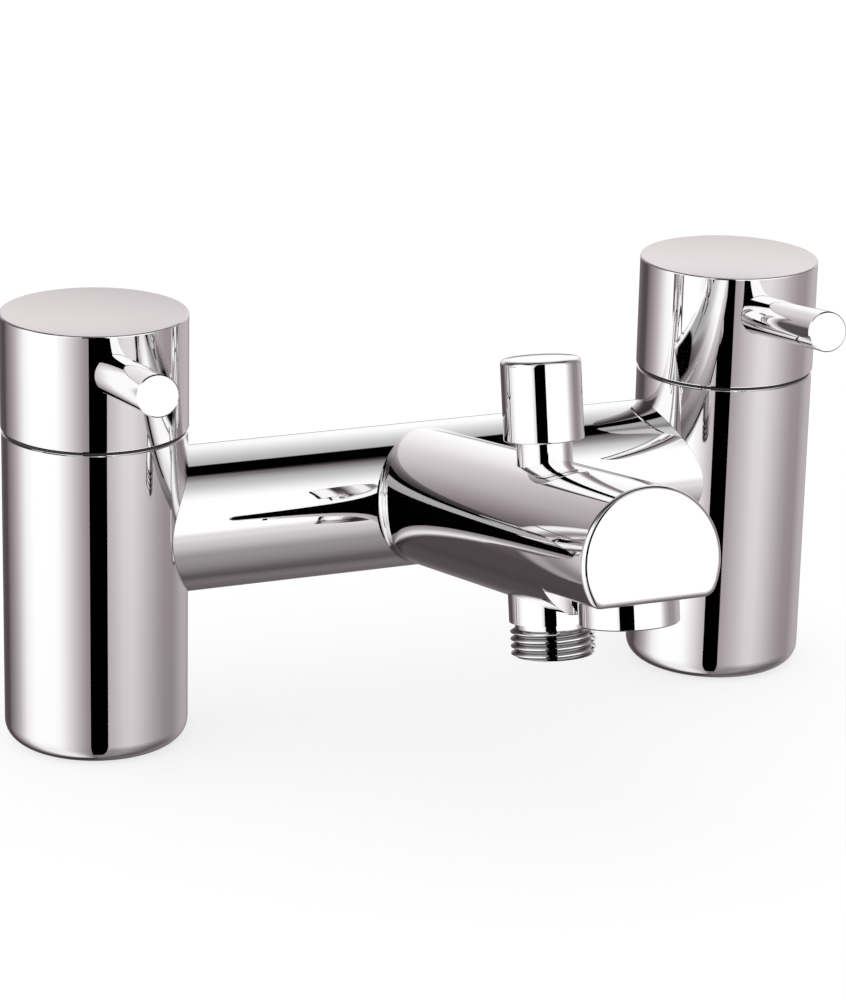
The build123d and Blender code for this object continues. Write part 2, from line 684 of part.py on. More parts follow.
with BuildPart() as aerator_gasket:
    add(ring(aerator_section, aerator_axis, aerator_bore_d, aerator_thread_d, insert_top, gasket_top))
save(aerator_gasket, "aerator_gasket")

with BuildPart() as aerator_insert:
    add(turned(aerator_section, aerator_axis, [
        (0, insert_low), (mouth_r - seat_gap, insert_low), (mouth_r - seat_gap, lip_h),
        (aerator_thread_d / 2, lip_h), (aerator_thread_d / 2, insert_top), (0, insert_top)]))
    with BuildSketch(aerator_plane.offset(aerator_low)):
        Circle(aerator_hole_d / 2)
        for count in range(1, aerator_hole_rings + 1):
            with PolarLocations(count * hole_step, 6 * count):
                Circle(aerator_hole_d / 2)
    extrude(amount=aerator_h, mode=Mode.SUBTRACT)
save(aerator_insert, "aerator_insert")
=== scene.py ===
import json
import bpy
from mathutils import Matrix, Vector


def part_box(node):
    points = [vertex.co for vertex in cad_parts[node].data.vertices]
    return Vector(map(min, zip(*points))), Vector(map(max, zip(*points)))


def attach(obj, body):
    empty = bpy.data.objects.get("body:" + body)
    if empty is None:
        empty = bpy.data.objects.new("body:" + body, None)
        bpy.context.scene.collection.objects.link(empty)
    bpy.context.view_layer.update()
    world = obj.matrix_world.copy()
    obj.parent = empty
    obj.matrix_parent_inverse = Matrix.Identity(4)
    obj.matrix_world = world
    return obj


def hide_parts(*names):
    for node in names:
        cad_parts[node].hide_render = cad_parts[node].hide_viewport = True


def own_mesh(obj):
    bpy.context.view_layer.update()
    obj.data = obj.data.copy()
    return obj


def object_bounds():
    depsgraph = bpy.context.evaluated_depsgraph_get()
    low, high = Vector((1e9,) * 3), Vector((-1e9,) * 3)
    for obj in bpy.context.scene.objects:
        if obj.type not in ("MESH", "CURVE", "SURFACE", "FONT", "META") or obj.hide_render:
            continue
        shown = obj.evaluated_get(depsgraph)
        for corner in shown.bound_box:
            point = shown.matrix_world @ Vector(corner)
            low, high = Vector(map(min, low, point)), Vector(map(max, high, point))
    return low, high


bl_info = {
    "name": "Bath Shower Mixer",
    "version": (1, 0, 0),
    "blender": (4, 5, 0),
    "location": "3D View > Sidebar > Mixer",
    "description": "Finishes, hose thread, return spring and studio of a deck-mounted bath shower mixer",
    "category": "Object",
}

from math import pi, radians, tau

import bpy
from bpy.props import FloatProperty, FloatVectorProperty, IntProperty, PointerProperty
from mathutils import Matrix, Vector

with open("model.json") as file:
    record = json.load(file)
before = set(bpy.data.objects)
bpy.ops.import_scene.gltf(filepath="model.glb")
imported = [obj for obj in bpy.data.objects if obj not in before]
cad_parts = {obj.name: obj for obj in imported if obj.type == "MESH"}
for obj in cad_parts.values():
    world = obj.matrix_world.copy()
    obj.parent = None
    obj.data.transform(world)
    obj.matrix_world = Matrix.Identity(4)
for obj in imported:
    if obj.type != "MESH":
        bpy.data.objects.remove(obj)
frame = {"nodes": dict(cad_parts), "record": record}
cad_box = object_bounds()
mm_per_metre = 1000
degrees_per_radian = 180 / pi
slots = {entry["slot"]: entry["base_color"][:3] for entry in frame["record"]["materials"]}
mounts = {entry["name"]: entry for entry in frame["record"]["mounts"]}
tap_spacing = mounts["tap_centres"]["dims"]["spacing_x_mm"] / mm_per_metre
outlet = mounts["shower_outlet"]
outlet_middle = Vector(outlet["pos_m"])
outlet_up = -Vector(outlet["axis"]).normalized()
outlet_tilt = Vector((0, 0, 1)).rotation_difference(outlet_up).to_matrix().to_4x4()
handle_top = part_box("left_handle_shell")[1].z
handle_radius = 0.024


# ---------------------------------------------------------------- shader maths


class Socket:
    """A node's output, with Python's operators for the Math nodes behind it."""

    def __init__(self, shader, output):
        self.shader = shader
        self.output = output

    def math(self, operation, *others):
        values = dict(enumerate((self, *others)))
        return self.shader.node("ShaderNodeMath", {"operation": operation}, values)

    def __add__(self, other):
        return self.math("ADD", other)

    def __sub__(self, other):
        return self.math("SUBTRACT", other)

    def __rsub__(self, other):
        return self * -1 + other

    def __mul__(self, other):
        return self.math("MULTIPLY", other)

    def __truediv__(self, other):
        return self.math("DIVIDE", other)

    def __neg__(self):
        return self * -1

    def __abs__(self):
        return self.math("ABSOLUTE")

    __radd__ = __add__
    __rmul__ = __mul__

    def between(self, low, high):
        """0 below low, 1 above high and a smooth step between them; high may be the lower one."""
        limits = {"Value": self, "From Min": min(low, high), "From Max": max(low, high)}
        step = self.shader.node("ShaderNodeMapRange", {"interpolation_type": "SMOOTHSTEP"}, limits)
        return step if high > low else 1 - step


class Shader:
    """The node tree of one material or world."""

    def __init__(self, tree):
        self.tree = tree
        tree.nodes.clear()

    def node(self, kind, settings=None, values=None, output=0):
        made = self.tree.nodes.new(kind)
        for name, value in (settings or {}).items():
            if name == "stops":
                self.stops(made.color_ramp, value)
            else:
                setattr(made, name, value)
        for name, value in (values or {}).items():
            if isinstance(value, Socket):
                self.tree.links.new(value.output, made.inputs[name])
            else:
                made.inputs[name].default_value = value
        return Socket(self, made.outputs[output]) if made.outputs else made

    @staticmethod
    def stops(ramp, stops):
        for index, (place, colour) in enumerate(stops):
            stop = ramp.elements[index] if index < 2 else ramp.elements.new(place)
            stop.position = place
            stop.color = (*colour, 1)

    def place(self):
        return self.node("ShaderNodeTexCoord", output="Object")

    def axes(self, vector):
        split = self.node("ShaderNodeSeparateXYZ", values={"Vector": vector})
        return [Socket(self, output) for output in split.output.node.outputs]

    def noise(self, vector, scale, detail=2.0, roughness=0.5):
        values = {"Vector": vector, "Scale": scale, "Detail": detail, "Roughness": roughness}
        return self.node("ShaderNodeTexNoise", values=values)

    def rings(self, travel, scale, detail):
        """Noise that varies with one measure only, such as a radius."""
        values = {"W": travel, "Scale": scale, "Detail": detail}
        return self.node("ShaderNodeTexNoise", {"noise_dimensions": "1D"}, values)

    def ramp(self, factor, stops):
        return self.node("ShaderNodeValToRGB", {"stops": stops}, {"Fac": factor})

    def vector(self, operation, vector, other=None, output=0):
        values = {0: vector} if other is None else {0: vector, 1: tuple(other)}
        return self.node("ShaderNodeVectorMath", {"operation": operation}, values, output)

    def along(self, vector, direction):
        return self.vector("DOT_PRODUCT", vector, direction, "Value")

    def blend(self, factor, first, second):
        def four(colour):
            return colour if isinstance(colour, Socket) else (*colour, 1)

        values = {"Factor": factor, 6: four(first), 7: four(second)}
        return self.node("ShaderNodeMix", {"data_type": "RGBA"}, values, output=2)

    def mix(self, factor, first, second):
        return self.node("ShaderNodeMixShader", values={0: factor, 1: first, 2: second})

    def bump(self, height, distance):
        """Normal of a relief whose height runs from 0 to 1, and whose depth is given in metres."""
        return self.node("ShaderNodeBump", values={"Strength": 1.0, "Distance": distance, "Height": height})

    def surface(self, **values):
        named = {name.replace("_", " ").title(): value for name, value in values.items()}
        self.output(self.node("ShaderNodeBsdfPrincipled", values=named))

    def output(self, surface, kind="ShaderNodeOutputMaterial"):
        self.node(kind, values={"Surface": surface})


def material(name):
    made = bpy.data.materials.new(name)
    made.use_nodes = True
    return made, Shader(made.node_tree)


def shade(colour, factor):
    return tuple(channel * factor for channel in colour)


# ---------------------------------------------------------------- finishes

# Scales are in noise cells a metre. An edge is the pair of values between which a patch fades in, a share
# is how bright the patch is next to the plain colour, a tint is how much of it shows, and a blur is extra
# roughness.

haze_scale = 26.0
haze_detail = 3.0
haze_edge = (0.42, 0.75)
cloud_scale = 7.0
cloud_edge = (0.3, 0.7)
cloud_share = 0.975
wave_scale = 42.0
wave_detail = 1.0

spun_edge = (handle_top - 0.0003, handle_top - 0.0001)
spun_ring_scale = 2600.0
spun_ring_detail = 2.0
spun_ring_tint = 0.5
spun_ring_share = 0.9
spun_ring_blur = 0.05
spun_ring_height = 0.02

# The thread's painted root shade fades out between its end and this share of its half length.
root_shade_end_share = 1.01

tool_ring_detail = 3.0
tool_ring_edge = (0.35, 0.7)
tool_ring_tint = 0.25
tool_ring_share = 1.12
tool_ring_blur = 0.12
tool_ring_height = 0.02
turned_cloud_scale = 60.0
turned_cloud_detail = 3.0
turned_cloud_share = 0.82

grain_detail = 4.0
grain_roughness = 0.6
grain_edge = (0.35, 0.7)
grain_tint_per_speckle = 4
grain_blur = 0.15
moulded_cloud_scale = 90.0
moulded_cloud_edge = (0.4, 0.8)
moulded_cloud_tint = 0.3


def polished_chrome(name, finish, spun_top=False, thread=None):
    """Plated mirror finish with a trace of haze and waviness.

    A spun top has fine rings, a slight crown or dish and painted shade: a darker, pinker copy of the plating's
    colour. A thread's roots get painted shade.
    """
    made, shader = material(name)
    place = shader.place()
    haze = shader.noise(place, haze_scale, haze_detail)
    cloud = shader.noise(place, cloud_scale)
    rough = finish.chrome_roughness + finish.chrome_haze * haze.between(*haze_edge)
    plating = tuple(finish.chrome_colour)
    colour = shader.blend(cloud.between(*cloud_edge), shade(plating, cloud_share), plating)
    height = shader.noise(place, wave_scale, wave_detail)
    depth = finish.plating_wave
    if spun_top:
        x, y, z = shader.axes(place)
        top = z.between(*spun_edge)
        side = abs(x) - tap_spacing / 2
        radius = (side * side + y * y).math("SQRT")
        rings = shader.rings(radius, spun_ring_scale, spun_ring_detail)
        rough = rough + top * (finish.spun_roughness + spun_ring_blur * rings)
        # Painted shade: the spun top takes a darker, pinker copy of the plating's colour, standing for the dim,
        # warm studio that it mirrors.
        colour = shader.blend(top, colour, tuple(finish.spun_painted_shade))
        colour = shader.blend(top * spun_ring_tint * rings, colour, shade(finish.spun_painted_shade, spun_ring_share))
        crown = 1 - radius * radius / handle_radius ** 2
        spun_height = crown * (finish.spun_crown / depth) + rings * spun_ring_height
        height = height * (1 - top) + top * spun_height
    if thread:
        from_middle = shader.vector("SUBTRACT", place, outlet_middle)
        across = shader.vector("CROSS_PRODUCT", from_middle, outlet_up)
        radius = shader.vector("LENGTH", across, output="Value")
        reach = abs(shader.along(from_middle, outlet_up))
        half = thread.turns * thread.pitch / 2
        # Painted shade: the thread's roots are darkened where shade falls between the ridges, fading out just
        # past the thread's ends.
        painted_root_shade = radius.between(thread.crest_diameter / 2, thread.root_diameter / 2)
        painted_root_shade = painted_root_shade * reach.between(half * root_shade_end_share, half)
        colour = shader.blend(painted_root_shade, colour, shade(plating, 1 - thread.root_shadow))
    shader.surface(base_color=colour, metallic=1.0, roughness=rough, normal=shader.bump(height, depth))
    return made


def turned_metal(name, colour, roughness, groove, axis=(0, 0, 1)):
    """Machined metal with fine tool rings along its axis and a slightly clouded tone."""
    made, shader = material(name)
    place = shader.place()
    rings = shader.rings(shader.along(place, axis), 1 / groove, tool_ring_detail)
    cloud = shader.noise(place, turned_cloud_scale, turned_cloud_detail)
    tone = shader.blend(cloud.between(*cloud_edge), shade(colour, turned_cloud_share), colour)
    ringed = rings.between(*tool_ring_edge) * tool_ring_tint
    tone = shader.blend(ringed, tone, shade(colour, tool_ring_share))
    shader.surface(base_color=tone, metallic=1.0, roughness=roughness + tool_ring_blur * rings,
                   normal=shader.bump(rings, groove * tool_ring_height))
    return made


def moulded(name, colour, roughness, grain, depth, speckle=0.12):
    """Moulded or pressed stuff: a fine grain in its colour, gloss and surface."""
    made, shader = material(name)
    place = shader.place()
    fine = shader.noise(place, 1 / grain, grain_detail, grain_roughness)
    cloud = shader.noise(place, moulded_cloud_scale)
    grained = fine.between(*grain_edge) * speckle * grain_tint_per_speckle
    tone = shader.blend(grained, colour, shade(colour, 1 - speckle))
    clouded = cloud.between(*moulded_cloud_edge) * moulded_cloud_tint
    tone = shader.blend(clouded, tone, shade(colour, 1 + speckle))
    shader.surface(base_color=tone, roughness=roughness + grain_blur * (fine - 0.5),
                   normal=shader.bump(fine, depth))
    return made


def give(made, *names):
    """Put one material on CAD nodes."""
    for name in names:
        data = frame["nodes"][name].data
        data.materials.clear()
        data.materials.append(made)


# ---------------------------------------------------------------- modelling

round_steps = 128
thread_steps = 96
spring_steps = 48
wire_sides = 12
ridge_share = 0.98
outline_weld = 1e-6
winding_weld = 1e-7
boolean_weld = 2e-6
sharp_angle = radians(28)


def clear_selection():
    if bpy.context.mode != "OBJECT":
        bpy.ops.object.mode_set(mode="OBJECT")
    bpy.ops.object.select_all(action="DESELECT")


def activate(piece):
    """Select one piece alone."""
    clear_selection()
    piece.select_set(True)
    bpy.context.view_layer.objects.active = piece


def edit_all():
    """Enter Edit Mode with the whole mesh selected."""
    bpy.ops.object.mode_set(mode="EDIT")
    bpy.ops.mesh.select_all(action="SELECT")


def ring_from_outline(name, outline):
    """Turn a closed outline of (radius, height) points by extruding a circle from point to point."""
    clear_selection()
    radius, height = outline[0]
    bpy.ops.mesh.primitive_circle_add(vertices=round_steps, radius=radius, location=(0, 0, height))
    piece = bpy.context.object
    piece.name = name
    bpy.ops.object.transform_apply(location=True)
    edit_all()
    for next_radius, next_height in (*outline[1:], outline[0]):
        bpy.ops.mesh.extrude_edges_move(TRANSFORM_OT_translate={"value": (0, 0, next_height - height)})
        share = next_radius / radius
        bpy.ops.transform.resize(value=(share, share, 1), center_override=(0, 0, next_height))
        radius, height = next_radius, next_height
    bpy.ops.mesh.select_all(action="SELECT")
    bpy.ops.mesh.remove_doubles(threshold=outline_weld)
    bpy.ops.mesh.normals_make_consistent(inside=False)
    bpy.ops.object.mode_set(mode="OBJECT")
    return piece


def wind(piece, pitch, turns, winding_steps):
    """Wind a closed section up about Z with a Screw modifier and close its two ends."""
    screw = piece.modifiers.new("Winding", "SCREW")
    screw.axis, screw.steps, screw.render_steps = "Z", winding_steps, winding_steps
    screw.screw_offset, screw.iterations = pitch, turns
    bpy.ops.object.modifier_apply(modifier=screw.name)
    edit_all()
    bpy.ops.mesh.remove_doubles(threshold=winding_weld)
    bpy.ops.mesh.fill_holes(sides=0)
    bpy.ops.mesh.normals_make_consistent(inside=False)
    bpy.ops.object.mode_set(mode="OBJECT")


def thread_ridge(name, thread):
    """One helical ridge: a small plane, narrowed at its crest and wound up, a turn longer at each end."""
    clear_selection()
    root, crest = thread.root_diameter / 2 - thread.sunk, thread.crest_diameter / 2
    middle = (root + crest) / 2
    bpy.ops.mesh.primitive_plane_add(size=1.0, rotation=(pi / 2, 0, 0))
    ridge = bpy.context.object
    ridge.name = name
    ridge.scale = (crest - root, thread.pitch * ridge_share, 1)
    ridge.location = (middle, 0, 0)
    bpy.ops.object.transform_apply(location=True, rotation=True, scale=True)
    for vertex in ridge.data.vertices:
        vertex.select = vertex.co.x > middle
    for edge in ridge.data.edges:
        edge.select = all(ridge.data.vertices[index].select for index in edge.vertices)
    for face in ridge.data.polygons:
        face.select = False
    bpy.ops.object.mode_set(mode="EDIT")
    bpy.ops.transform.resize(value=(1, 1, thread.crest_share), center_override=(crest, 0, 0))
    bpy.ops.mesh.select_all(action="SELECT")
    bpy.ops.mesh.delete(type="ONLY_FACE")
    bpy.ops.object.mode_set(mode="OBJECT")
    wind(ridge, thread.pitch, thread.turns + 2, thread_steps)
    ridge.location.z = -thread.pitch
    return ridge


def combine(piece, other, operation):
    """Apply one Boolean modifier, remove the tool and merge the slivers that it leaves."""
    activate(piece)
    cut = piece.modifiers.new("Cut", "BOOLEAN")
    cut.operation, cut.object, cut.solver = operation, other, "EXACT"
    bpy.ops.object.modifier_apply(modifier=cut.name)
    bpy.data.objects.remove(other)
    edit_all()
    bpy.ops.mesh.remove_doubles(threshold=boolean_weld)
    bpy.ops.mesh.dissolve_degenerate(threshold=boolean_weld)
    bpy.ops.object.mode_set(mode="OBJECT")


def settle(piece, matrix, body):
    """Lay a finished piece where it belongs, with its place in its mesh."""
    activate(piece)
    piece.matrix_world = matrix
    bpy.ops.object.transform_apply(location=True, rotation=True, scale=True)
    bpy.ops.object.shade_smooth_by_angle(angle=sharp_angle)
    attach(piece, body)


# ---------------------------------------------------------------- settings


class MixerFinish(bpy.types.PropertyGroup):
    """Colours and gloss of the mixer's materials."""

    chrome_colour: FloatVectorProperty(
        name="Chrome", description="Colour that the plating mirrors with",
        subtype="COLOR", size=3, min=0, max=1, default=(0.93, 0.925, 0.93))
    chrome_roughness: FloatProperty(
        name="Chrome roughness", description="Blur of the polished plating", default=0.015, min=0, max=1)
    chrome_haze: FloatProperty(
        name="Chrome haze", description="Extra blur in the hazy patches", default=0.03, min=0, max=1)
    plating_wave: FloatProperty(
        name="Plating wave", description="Depth of the waves in the plating",
        subtype="DISTANCE", min=0, default=0.000006, precision=7)
    spun_roughness: FloatProperty(
        name="Spun top roughness", description="Blur of the handles' spun tops", default=0.2, min=0, max=1)
    # Painted shade: a darker, pinker copy of the chrome for the spun tops.
    spun_painted_shade: FloatVectorProperty(
        name="Spun top", description="Colour that the spun tops mirror with",
        subtype="COLOR", size=3, min=0, max=1, default=(0.68, 0.625, 0.635))
    spun_crown: FloatProperty(
        name="Spun top crown", description="Height of the tops' crown; below zero they are dished",
        subtype="DISTANCE", default=-0.0014, precision=5)
    brass_colour: FloatVectorProperty(
        name="Brass", description="Colour of the machined brass",
        subtype="COLOR", size=3, min=0, max=1, default=slots["brass"])
    steel_colour: FloatVectorProperty(
        name="Spring steel", description="Colour of the drawn wire and clips",
        subtype="COLOR", size=3, min=0, max=1, default=slots["spring_steel"])
    rubber_colour: FloatVectorProperty(
        name="Rubber", description="Colour of seals and washers",
        subtype="COLOR", size=3, min=0, max=1, default=slots["rubber"])
    ceramic_colour: FloatVectorProperty(
        name="Ceramic", description="Colour of the valve discs",
        subtype="COLOR", size=3, min=0, max=1, default=slots["ceramic"])


class MixerThread(bpy.types.PropertyGroup):
    """Sizes of the shower outlet's nipple and its hose thread."""

    crest_diameter: FloatProperty(
        name="Crest diameter", description="Diameter over the thread",
        unit="LENGTH", default=2 * outlet["dims"]["r_mm"] / mm_per_metre)
    root_diameter: FloatProperty(
        name="Root diameter", description="Diameter between the ridges", unit="LENGTH", default=0.01863)
    pitch: FloatProperty(
        name="Pitch", description="Rise in one turn", unit="LENGTH", default=0.001814, precision=6)
    turns: IntProperty(name="Turns", description="Full turns that show", default=4, min=1)
    crest_share: FloatProperty(
        name="Crest share", description="Width of the crest as a share of the root's",
        default=0.16, min=0.05, max=1)
    # The roots' darkening is painted shade.
    root_shadow: FloatProperty(
        name="Root shadow", description="How much darker the thread's roots are", default=0.65, min=0, max=1)
    sunk: FloatProperty(
        name="Sunk", description="How far the ridge is sunk into the nipple", unit="LENGTH", default=0.0002)
    bore_diameter: FloatProperty(
        name="Bore", description="Diameter of the waterway", unit="LENGTH", default=0.014)
    shank_diameter: FloatProperty(
        name="Shank", description="Diameter of the part inside the spout", unit="LENGTH", default=0.0171)
    seat_diameter: FloatProperty(
        name="Seat", description="Diameter of the diverter's seat", unit="LENGTH", default=0.010)
    seat_depth: FloatProperty(
        name="Seat depth", description="Thickness of the seat's web", unit="LENGTH", default=0.003)
    relief_diameter: FloatProperty(
        name="Relief", description="Diameter of the neck above the thread", unit="LENGTH", default=0.0184)
    relief_height: FloatProperty(
        name="Relief height", description="Length of the neck above the thread", unit="LENGTH", default=0.0015)
    shank_height: FloatProperty(
        name="Shank height", description="Length of the part inside the spout", unit="LENGTH", default=0.016)
    lead: FloatProperty(
        name="Lead-in", description="Chamfer at both ends of the thread", unit="LENGTH", default=0.0007)


class MixerSpring(bpy.types.PropertyGroup):
    """Sizes of the diverter's return spring."""

    wire_diameter: FloatProperty(
        name="Wire", description="Diameter of the wire", unit="LENGTH", default=0.0007)
    coil_diameter: FloatProperty(
        name="Coil", description="Mean diameter of the coil", unit="LENGTH", default=0.0066)
    pitch: FloatProperty(
        name="Pitch", description="Rise in one turn", unit="LENGTH", default=0.0127 / 6, precision=6)
    turns: IntProperty(name="Turns", description="Turns of the spring", default=6, min=1)
    height: FloatProperty(
        name="Height", description="Spring's low end above the middle of the hose thread",
        unit="LENGTH", default=0.038028, precision=6)
    clearance: FloatProperty(
        name="Clearance", description="Gap at each end of the spring",
        unit="LENGTH", default=0.00005, precision=5)
    lift: FloatProperty(
        name="Lift", description="Travel of the collar that presses it",
        unit="LENGTH", default=0.0067, precision=4)


class MixerStage(bpy.types.PropertyGroup):
    """Floor, room, black flag and camera."""

    floor_colour: FloatVectorProperty(
        name="Floor", description="Colour of the floor",
        subtype="COLOR", size=3, min=0, max=1, default=(0.9, 0.9, 0.9))
    floor_size: FloatProperty(
        name="Floor size", description="Width of the floor", unit="LENGTH", default=16.0)
    room_strength: FloatProperty(
        name="Room", description="Brightness of the white room", default=1.0, min=0)
    studio_strength: FloatProperty(
        name="Studio", description="Brightness of what the metal mirrors", default=1.08, min=0)
    flag_width: FloatProperty(
        name="Flag width", description="Width of the black flag in front", unit="LENGTH", default=0.25)
    flag_place: FloatVectorProperty(
        name="Flag place", description="Middle of the black flag's step",
        subtype="XYZ", unit="LENGTH", size=3, default=(-0.249, -0.638, 0.0))
    flag_drop: FloatProperty(
        name="Flag drop", description="Height of the flag's narrow lower part", unit="LENGTH", default=1.5)
    flag_rise: FloatProperty(
        name="Flag rise", description="Height of the flag's wide upper part", unit="LENGTH", default=1.2)
    flag_widening: FloatProperty(
        name="Flag widening", description="How much wider the upper part is, on its left",
        unit="LENGTH", default=0.09)
    camera_place: FloatVectorProperty(
        name="Camera place", description="Where the camera stands",
        subtype="XYZ", unit="LENGTH", size=3, default=(-0.374342, -0.874453, 0.364204))
    camera_yaw: FloatProperty(
        name="Yaw", description="Turn to the right", subtype="ANGLE", default=0.40595)
    camera_pitch: FloatProperty(
        name="Pitch", description="Tilt upwards", subtype="ANGLE", default=-0.314755)
    camera_roll: FloatProperty(
        name="Roll", description="Turn about the view", subtype="ANGLE", default=0.022888)
    camera_lens: FloatProperty(
        name="Lens", description="Focal length on a sensor 36 mm high", default=135.1958, min=1)


# ---------------------------------------------------------------- pieces


class MIXER_OT_bodies(bpy.types.Operator):
    """Polish the pillars, the bridge and the spout"""

    bl_idname = "mixer.bodies"
    bl_label = "Pillars, bridge and spout"

    def execute(self, context):
        chrome = polished_chrome("polished chrome", context.scene.mixer_finish)
        give(chrome, "left_pillar", "right_pillar", "bridge_tube", "spout_tube", "diverter_body", "spout_nose")
        return {"FINISHED"}


class MIXER_OT_handles(bpy.types.Operator):
    """Polish the handles and levers and spin the handles' tops"""

    bl_idname = "mixer.handles"
    bl_label = "Handles and levers"

    def execute(self, context):
        finish = context.scene.mixer_finish
        shell = polished_chrome("handle chrome", finish, spun_top=True)
        give(shell, "left_handle_shell", "right_handle_shell")
        give(polished_chrome("lever chrome", finish), "left_lever", "right_lever")
        nylon = moulded("black nylon", slots["black_nylon"], roughness=0.5, grain=0.0004, depth=0.00002)
        give(nylon, "left_slip_ring", "right_slip_ring")
        return {"FINISHED"}


class MIXER_OT_diverter(bpy.types.Operator):
    """Finish the diverter: knob, neck, rod, piston, nut, washers and O-rings"""

    bl_idname = "mixer.diverter"
    bl_label = "Diverter"

    def execute(self, context):
        finish = context.scene.mixer_finish
        give(polished_chrome("diverter chrome", finish), "diverter_knob", "diverter_neck")
        brass = turned_metal("diverter brass", tuple(finish.brass_colour), roughness=0.24, groove=0.0004,
                             axis=outlet_up)
        give(brass, "diverter_rod", "diverter_piston", "rod_nut")
        rubber = moulded("diverter rubber", tuple(finish.rubber_colour), roughness=0.62, grain=0.0005,
                         depth=0.00003)
        give(rubber, "lower_seat_washer", "upper_seat_washer", "rod_o_ring", "outlet_o_ring")
        return {"FINISHED"}


class MIXER_OT_spring(bpy.types.Operator):
    """Wind the diverter's return spring at one length; the real one shortens as the knob is pulled up"""

    bl_idname = "mixer.spring"
    bl_label = "Return spring"

    def execute(self, context):
        spring = context.scene.mixer_spring
        clear_selection()
        bpy.ops.mesh.primitive_circle_add(vertices=wire_sides, radius=spring.wire_diameter / 2,
                                          rotation=(pi / 2, 0, 0), location=(spring.coil_diameter / 2, 0, 0))
        coil = bpy.context.object
        coil.name = "wound_spring"
        bpy.ops.object.transform_apply(location=True, rotation=True)
        wind(coil, spring.pitch, spring.turns, spring_steps)
        low_end = outlet_middle + outlet_up * spring.height
        settle(coil, Matrix.Translation(low_end) @ outlet_tilt, "mixer_body")
        steel = tuple(context.scene.mixer_finish.steel_colour)
        wire = turned_metal("spring wire", steel, roughness=0.28, groove=0.0003, axis=outlet_up)
        coil.data.materials.append(wire)
        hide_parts("return_spring")
        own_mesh(coil)
        return {"FINISHED"}


class MIXER_OT_valves(bpy.types.Operator):
    """Finish the quarter-turn valves inside the pillars"""

    bl_idname = "mixer.valves"
    bl_label = "Valves"

    def execute(self, context):
        finish = context.scene.mixer_finish
        brass = turned_metal("valve brass", tuple(finish.brass_colour), roughness=0.26, groove=0.0005)
        steel = turned_metal("clip steel", tuple(finish.steel_colour), roughness=0.3, groove=0.0003)
        ceramic = moulded("lapped ceramic", tuple(finish.ceramic_colour), roughness=0.16, grain=0.0003,
                          depth=0.000004, speckle=0.03)
        rubber = moulded("valve rubber", tuple(finish.rubber_colour), roughness=0.62, grain=0.0005,
                         depth=0.00003)
        nylon = moulded("white nylon", slots["nylon"], roughness=0.45, grain=0.0006, depth=0.00001,
                        speckle=0.05)
        fibre = moulded("pressed fibre", slots["fibre"], roughness=0.8, grain=0.0007, depth=0.00006,
                        speckle=0.3)
        for side in ("left", "right"):
            give(brass, *(f"{side}_{name}" for name in ("valve_bonnet", "spindle", "spline_insert")))
            give(steel, f"{side}_circlip")
            give(ceramic, f"{side}_fixed_disc", f"{side}_moving_disc")
            give(rubber, f"{side}_seat_seal", f"{side}_spindle_o_rings")
            give(nylon, f"{side}_thrust_washer")
            give(fibre, f"{side}_bonnet_washer")
        return {"FINISHED"}


class MIXER_OT_aerator(bpy.types.Operator):
    """Finish the aerator's ring, gasket and perforated insert"""

    bl_idname = "mixer.aerator"
    bl_label = "Aerator"

    def execute(self, context):
        finish = context.scene.mixer_finish
        give(polished_chrome("aerator chrome", finish), "aerator_housing")
        rubber = moulded("aerator rubber", tuple(finish.rubber_colour), roughness=0.6, grain=0.0005,
                         depth=0.00002)
        give(rubber, "aerator_gasket")
        plastic = moulded("aerator plastic", slots["moulded_plastic"], roughness=0.38, grain=0.0005,
                          depth=0.000008, speckle=0.05)
        give(plastic, "aerator_insert")
        return {"FINISHED"}


class MIXER_OT_hose_nipple(bpy.types.Operator):
    """Turn the shower outlet's nipple and wind its hose thread"""

    bl_idname = "mixer.hose_nipple"
    bl_label = "Shower outlet nipple"

    def execute(self, context):
        thread = context.scene.mixer_thread
        root, crest, relief = thread.root_diameter / 2, thread.crest_diameter / 2, thread.relief_diameter / 2
        bore, seat, shank = thread.bore_diameter / 2, thread.seat_diameter / 2, thread.shank_diameter / 2
        length = thread.turns * thread.pitch
        top = length + thread.relief_height
        shank_top = top + thread.shank_height
        seat_bottom = shank_top - thread.seat_depth
        nipple = ring_from_outline("hose_nipple", [
            (bore, 0), (root, 0), (root, length), (relief, length), (relief, top), (shank, top),
            (shank, shank_top), (seat, shank_top), (seat, seat_bottom), (bore, seat_bottom)])
        ridge = thread_ridge("ridge", thread)
        inner, lead_in = root - 2 * thread.sunk, crest - thread.lead
        envelope = ring_from_outline("envelope", [
            (inner, 0), (lead_in, 0), (crest, thread.lead), (crest, length - thread.lead),
            (lead_in, length), (inner, length)])
        combine(ridge, envelope, "INTERSECT")
        combine(nipple, ridge, "UNION")
        foot = outlet_middle - outlet_up * length / 2
        settle(nipple, Matrix.Translation(foot) @ outlet_tilt, "mixer_body")
        finish = context.scene.mixer_finish
        nipple.data.materials.append(polished_chrome("thread chrome", finish, thread=thread))
        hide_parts("shower_outlet_nipple")
        return {"FINISHED"}


# ---------------------------------------------------------------- stage

darkest_green = 0.81
darkest_blue = 0.87


def grey(level):
    """A studio grey: the darker, the warmer and pinker."""
    def channel(darkest):
        return level * (darkest + (1 - darkest) * min(level, 1))

    return (level, channel(darkest_green), channel(darkest_blue))


def bearings(table):
    """Ramp stops from a table of compass bearings in degrees and brightness."""
    return [((degrees + 180) / 360, grey(level)) for degrees, level in table]


